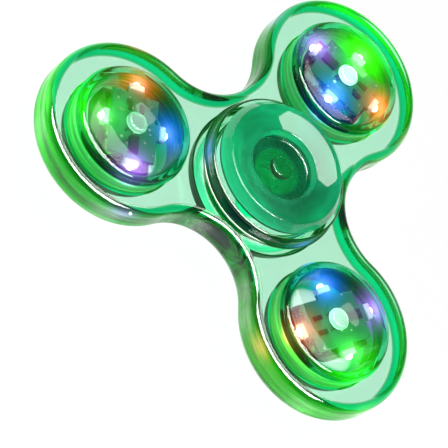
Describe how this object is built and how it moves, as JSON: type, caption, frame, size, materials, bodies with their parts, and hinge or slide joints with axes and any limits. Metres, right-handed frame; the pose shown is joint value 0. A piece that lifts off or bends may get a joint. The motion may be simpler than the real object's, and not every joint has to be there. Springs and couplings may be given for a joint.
{
  "type": "fidget spinner",
  "caption": "Tri-lobe hand spinner in clear green plastic: a ball-bearing hub held between finger caps, and a domed light module with a push button in each lobe.",
  "frame": {"origin": "centre of the hub bearing, on the spin axis at the frame's mid-plane, which is also the balance point", "axes": "+Z along the spin axis, out of the front cap; +X towards the centre of lobe 1; lobes 2 and 3 follow every 120 degrees counter-clockwise seen from the front"},
  "size_m": [0.0689, 0.075, 0.0154],
  "materials": {
    "frame_clear_green": "clear green acrylic, polished",
    "cap_clear_green": "clear deep green acrylic, polished",
    "module_clear_green": "clear green polycarbonate, glossy",
    "button_clear": "clear pale green plastic, glossy",
    "bearing_steel": "ground and honed",
    "ball_steel": "polished",
    "cage_steel": "pressed, satin",
    "circuit_board": "solder mask over glass fibre",
    "black_plastic": "moulded, matt",
    "cell_steel": "nickel-plated can",
    "contact_brass": "pressed strip",
    "contact_tin": "tinned strip",
    "lamp_green": "clear lens, glowing when lit",
    "lamp_violet": "clear lens, glowing when lit",
    "lamp_blue": "clear lens, glowing when lit",
    "lamp_red": "clear lens, glowing when lit"
  },
  "bodies": {
    "hub_core": {"finger_cap_front": "cap_clear_green", "finger_cap_rear": "cap_clear_green", "bearing_inner_race": "bearing_steel"},
    "rotor": {"frame": "frame_clear_green", "bearing_outer_race": "bearing_steel", "pod_dome_1": "module_clear_green", "pod_rear_cover_1": "module_clear_green", "circuit_board_1": "circuit_board", "tact_switch_1": "black_plastic", "controller_chip_1": "black_plastic", "resistors_1": "black_plastic", "button_cells_1": "cell_steel", "battery_cradle_1": "black_plastic", "contact_positive_1": "contact_brass", "contact_negative_1": "contact_tin", "led_green_1": "lamp_green", "led_violet_1": "lamp_violet", "led_blue_1": "lamp_blue", "led_red_1": "lamp_red", "pod_dome_2": "module_clear_green", "pod_rear_cover_2": "module_clear_green", "circuit_board_2": "circuit_board", "tact_switch_2": "black_plastic", "controller_chip_2": "black_plastic", "resistors_2": "black_plastic", "button_cells_2": "cell_steel", "battery_cradle_2": "black_plastic", "contact_positive_2": "contact_brass", "contact_negative_2": "contact_tin", "led_green_2": "lamp_green", "led_violet_2": "lamp_violet", "led_blue_2": "lamp_blue", "led_red_2": "lamp_red", "pod_dome_3": "module_clear_green", "pod_rear_cover_3": "module_clear_green", "circuit_board_3": "circuit_board", "tact_switch_3": "black_plastic", "controller_chip_3": "black_plastic", "resistors_3": "black_plastic", "button_cells_3": "cell_steel", "battery_cradle_3": "black_plastic", "contact_positive_3": "contact_brass", "contact_negative_3": "contact_tin", "led_green_3": "lamp_green", "led_violet_3": "lamp_violet", "led_blue_3": "lamp_blue", "led_red_3": "lamp_red"},
    "ball_cage": {"bearing_cage": "cage_steel", "bearing_balls": "ball_steel"},
    "button_1": {"push_button_1": "button_clear"},
    "button_2": {"push_button_2": "button_clear"},
    "button_3": {"push_button_3": "button_clear"}
  },
  "joints": [
    {"name": "frame_spin", "type": "hinge", "parent": "hub_core", "child": "rotor", "pos_m": [0, 0, 0], "axis": [0, 0, 1], "continuous": true},
    {"name": "cage_spin", "type": "hinge", "parent": "hub_core", "child": "ball_cage", "pos_m": [0, 0, 0], "axis": [0, 0, 1], "continuous": true},
    {"name": "button_press_1", "type": "slide", "parent": "rotor", "child": "button_1", "axis": [0, 0, -1], "range_m": [0, 0.00025], "stiffness_N_per_m": 1500},
    {"name": "button_press_2", "type": "slide", "parent": "rotor", "child": "button_2", "axis": [0, 0, -1], "range_m": [0, 0.00025], "stiffness_N_per_m": 1500},
    {"name": "button_press_3", "type": "slide", "parent": "rotor", "child": "button_3", "axis": [0, 0, -1], "range_m": [0, 0.00025], "stiffness_N_per_m": 1500}
  ],
  "couplings": [
    {"joint": "cage_spin", "follows": "frame_spin", "ratio": 0.6323}
  ]
}
